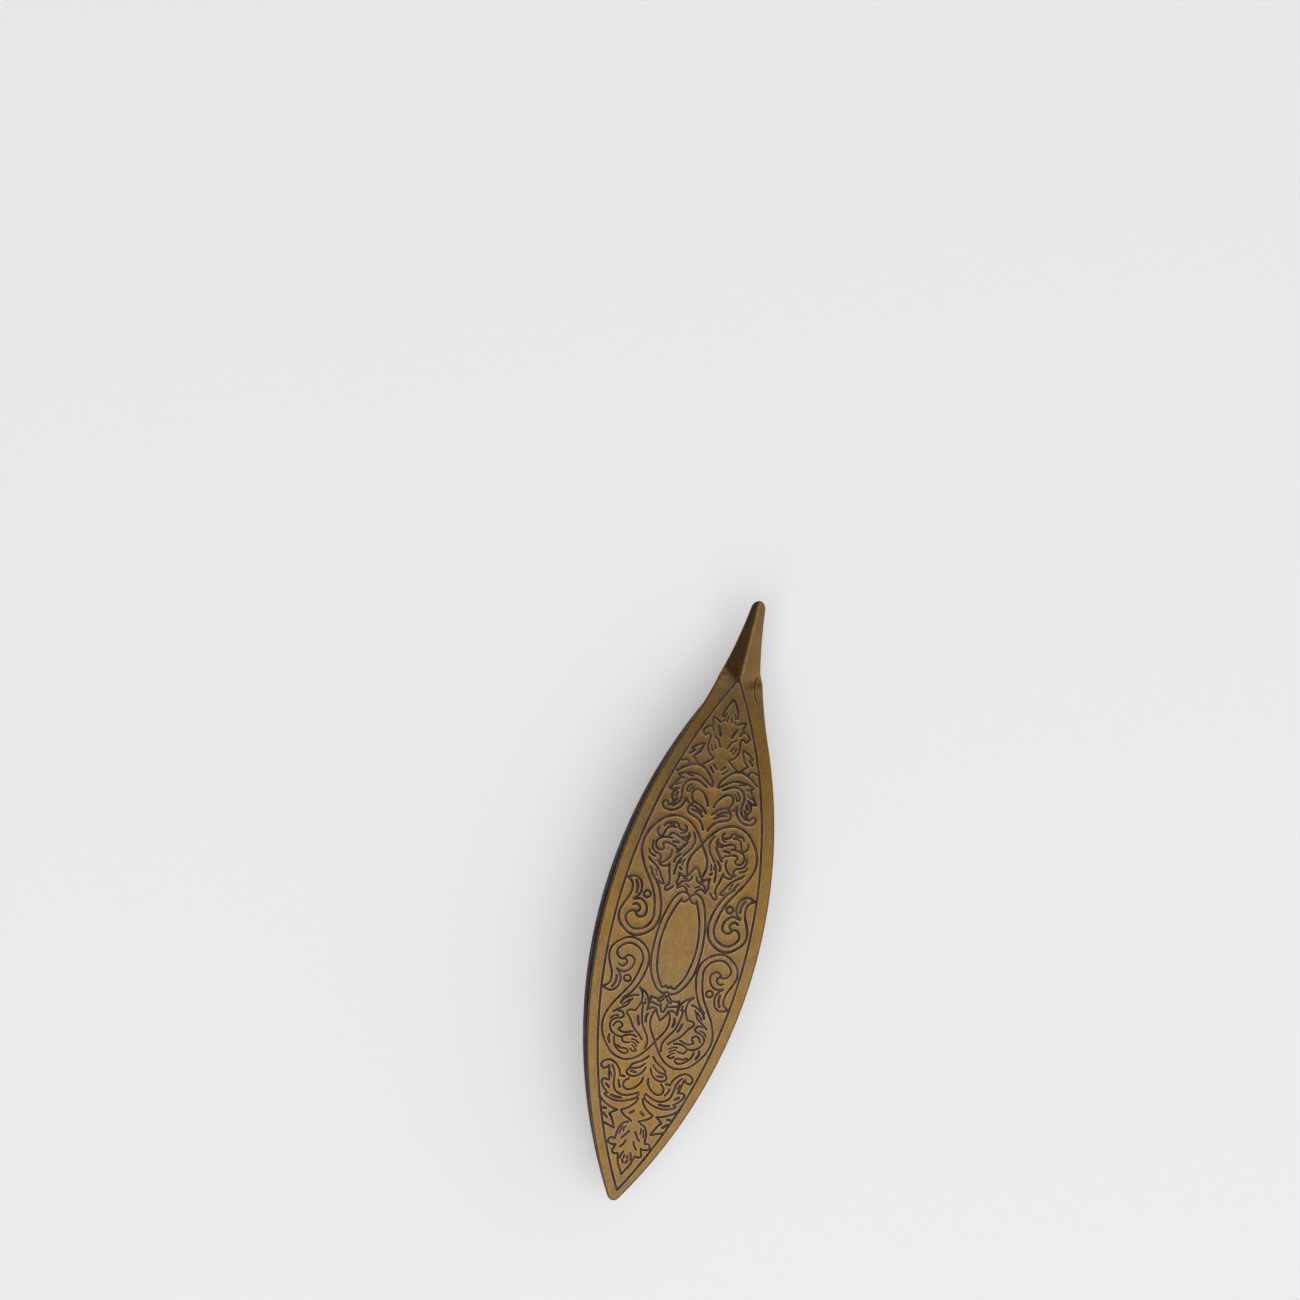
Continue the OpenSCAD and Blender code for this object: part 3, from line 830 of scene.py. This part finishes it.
def metal(name, light, dark, roughness=(0.36, 0.46), relief=0.01):
    """Aged plated metal: mottled and stained colour, fine speckle, uneven gloss and grain."""
    material, tree, shader = nodes_of(name)
    coords = tree.nodes.new("ShaderNodeTexCoord").outputs["Object"]
    stretch = tree.nodes.new("ShaderNodeMapping")
    stretch.inputs["Scale"].default_value = BRUSH_STRETCH
    tree.links.new(coords, stretch.inputs["Vector"])
    along = stretch.outputs["Vector"]
    mottle = ramp(tree, noise(tree, coords, MOTTLE), (0.3, dark), (0.7, light))
    stain = ramp(tree, noise(tree, coords, STAIN), (0.42, COOL), (0.66, WARM))
    low, high = SPECKLE_GREYS
    speckle = ramp(tree, noise(tree, coords, SPECKLE), (0.3, grey(low)), (0.7, grey(high)))
    low, high = roughness
    brushing = ramp(tree, noise(tree, along, BRUSHING), (0.3, grey(low)), (0.75, grey(high)))
    tree.links.new(product(tree, mottle, stain, speckle), shader.inputs["Base Color"])
    tree.links.new(brushing, shader.inputs["Roughness"])
    shader.inputs["Metallic"].default_value = 1
    bump(tree, shader, noise(tree, along, GRAIN), strength=0.25, depth=relief)
    return material


def patina(name):
    """Residue left in the engraved lines, near black where it is thick and brown where it is thin."""
    material, tree, shader = nodes_of(name)
    coords = tree.nodes.new("ShaderNodeTexCoord").outputs["Object"]
    clots = noise(tree, coords, CLOTS)
    colour = ramp(tree, clots, (0.36, THICK_RESIDUE), (0.66, THIN_RESIDUE))
    roughness = ramp(tree, clots, (0.3, grey(0.55)), (0.8, grey(0.8)))
    tree.links.new(colour, shader.inputs["Base Color"])
    tree.links.new(roughness, shader.inputs["Roughness"])
    shader.inputs["Metallic"].default_value = 0.35
    bump(tree, shader, clots, strength=0.4, depth=0.02)
    return material


# Brightness of the surround, and of the dark flag in it that stands beyond the shuttle's left side
SKY = 0.42
FLAG = 0.05

# The way to the flag's middle, and the cosines to it between which the surround darkens
FLAG_WAY = (0.1, 0.99, 0)
FLAG_EDGES = (0.1, 0.6)

# The floor, and the light that it seems to give off where it is seen directly or in the metal
FLOOR_HALF = 1.5
FLOOR_COLOUR = (0.84, 0.84, 0.85, 1)
FLOOR_GLOW = 0.25


def softbox(name, size, place, aim, brightness):
    """A soft lamp whose face has the given brightness, where 1 is white."""
    data = bpy.data.lights.new(name, "AREA")
    data.shape = "RECTANGLE"
    data.size, data.size_y = size
    data.energy = brightness * math.pi * size[0] * size[1]
    obj = bpy.data.objects.new(name, data)
    obj.location = place
    obj.rotation_euler = (Vector(aim) - Vector(place)).to_track_quat("-Z", "Y").to_euler()
    bpy.context.scene.collection.objects.link(obj)


def studio_floor(z):
    """A wide, pale floor that takes the shuttle's shadow."""
    mesh = bpy.data.meshes.new("floor")
    corners = [(x * FLOOR_HALF, y * FLOOR_HALF, z) for x, y in ((-1, -1), (1, -1), (1, 1), (-1, 1))]
    mesh.from_pydata(corners, [], [(0, 1, 2, 3)])
    material, tree, shader = nodes_of("floor_white")
    shader.inputs["Base Color"].default_value = FLOOR_COLOUR
    shader.inputs["Roughness"].default_value = 0.9
    shader.inputs["Specular IOR Level"].default_value = 0.1
    rays = tree.nodes.new("ShaderNodeLightPath").outputs
    seen = rays["Is Camera Ray"]
    for kind in ("Is Glossy Ray", "Is Transmission Ray"):
        either = tree.nodes.new("ShaderNodeMath")
        either.operation = "MAXIMUM"
        tree.links.new(seen, either.inputs[0])
        tree.links.new(rays[kind], either.inputs[1])
        seen = either.outputs["Value"]
    glow = tree.nodes.new("ShaderNodeMath")
    glow.operation = "MULTIPLY"
    glow.inputs[1].default_value = FLOOR_GLOW
    tree.links.new(seen, glow.inputs[0])
    tree.links.new(glow.outputs["Value"], shader.inputs["Emission Strength"])
    shader.inputs["Emission Color"].default_value = (1, 1, 1, 1)
    mesh.materials.append(material)
    obj = bpy.data.objects.new("floor", mesh)
    bpy.context.scene.collection.objects.link(obj)


def studio_world():
    """A plain pale surround with a dark flag that shades the left side of the pick."""
    world = bpy.data.worlds.new("studio")
    bpy.context.scene.world = world
    world.use_nodes = True
    tree = world.node_tree
    shade = tree.nodes["Background"]
    coords = tree.nodes.new("ShaderNodeTexCoord").outputs["Generated"]
    towards_flag = tree.nodes.new("ShaderNodeVectorMath")
    towards_flag.operation = "DOT_PRODUCT"
    towards_flag.inputs[1].default_value = FLAG_WAY
    tree.links.new(coords, towards_flag.inputs[0])
    start, end = FLAG_EDGES
    sky = ramp(tree, towards_flag.outputs["Value"], (start, grey(SKY)), (end, grey(FLAG)))
    tree.links.new(sky, shade.inputs["Color"])


def photo_camera():
    """The photograph's view: from above, a little to the shuttle's left, with the pick up and right."""
    place = Vector((10.62, 69.93, 696.4)) * MM
    aim = Vector((38.29, 13.73, 0)) * MM
    up_turn = math.radians(13.95)
    lens, sensor = 134.2, 36.0
    back = (place - aim).normalized()
    up = Vector((math.cos(up_turn), math.sin(up_turn), 0))
    right = up.cross(back).normalized()
    up = back.cross(right)
    data = bpy.data.cameras.new("photo_camera")
    data.lens = lens
    data.sensor_width = sensor
    data.clip_start = 0.01
    data.clip_end = 10
    obj = bpy.data.objects.new("photo_camera", data)
    obj.matrix_world = Matrix.Translation(place) @ Matrix((right, up, back)).transposed().to_4x4()
    bpy.context.scene.collection.objects.link(obj)
    bpy.context.scene.camera = obj


bronze = metal("antique_bronze", light=(0.3, 0.18, 0.069), dark=(0.25, 0.146, 0.052))
# Lighter metal on the lips beside the engraved lines: a painted highlight, for light caught along the
# grooves' edges.
lip_highlight_bronze = metal("painted_lip_highlight", light=(0.42, 0.28, 0.14), dark=(0.32, 0.205, 0.1))
edge_bronze = metal("edge_bronze", light=(0.24, 0.145, 0.062), dark=(0.19, 0.112, 0.046))
# The lower blade's rim in bluish near-black metal: painted shade, for the rim lying in the upper blade's
# shadow.
painted_shade_lower_rim = metal("painted_shade_lower_rim", light=(0.19, 0.148, 0.13), dark=(0.12, 0.1, 0.1), roughness=(0.42, 0.54))
# Darker, greyer metal on the blades' inner faces: painted shade, for the faces lying between the blades.
painted_shade_inside = metal(
    "painted_shade_inside", light=(0.2, 0.15, 0.115), dark=(0.13, 0.1, 0.085), roughness=(0.42, 0.54), relief=0.012
)
post_bronze = metal(
    "post_bronze", light=(0.22, 0.135, 0.055), dark=(0.15, 0.09, 0.036), roughness=(0.38, 0.5), relief=0.012
)
solder = metal(
    "plated_solder", light=(0.21, 0.15, 0.085), dark=(0.13, 0.09, 0.05), roughness=(0.4, 0.55), relief=0.03
)
residue = patina("dark_patina")

upper_finish = [bronze, residue, lip_highlight_bronze, painted_shade_inside, edge_bronze]
upper = blade("upper_blade_engraved", True, ornament() + pick_crease(), upper_finish)
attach(upper, "root")
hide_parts("upper_blade")

# The lower blade's rim takes the painted shade.
lower_finish = [bronze, residue, lip_highlight_bronze, painted_shade_inside, painted_shade_lower_rim]
lower = blade("lower_blade_engraved", False, ornament(), lower_finish)
lower.data.transform(Matrix.Scale(-1, 4, (0, 0, 1)))
lower.data.flip_normals()
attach(lower, "root")
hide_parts("lower_blade")

for node, material in (
    ("center_post", post_bronze),
    ("upper_solder_seam", solder),
    ("lower_solder_seam", solder),
):
    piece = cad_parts[node]
    piece.data.materials.clear()
    piece.data.materials.append(material)

studio_floor(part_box("lower_blade")[0].z)
studio_world()
softbox("overhead", size=(1.9, 1.9), place=(-0.78, -0.2, 1.0), aim=(-0.78, -0.2, 0), brightness=0.95)
softbox("right_fill", size=(1.4, 0.5), place=(0.65, -0.75, 0.25), aim=(0.03, 0, 0), brightness=0.66)
photo_camera()

bpy.context.scene.view_settings.view_transform = "Standard"
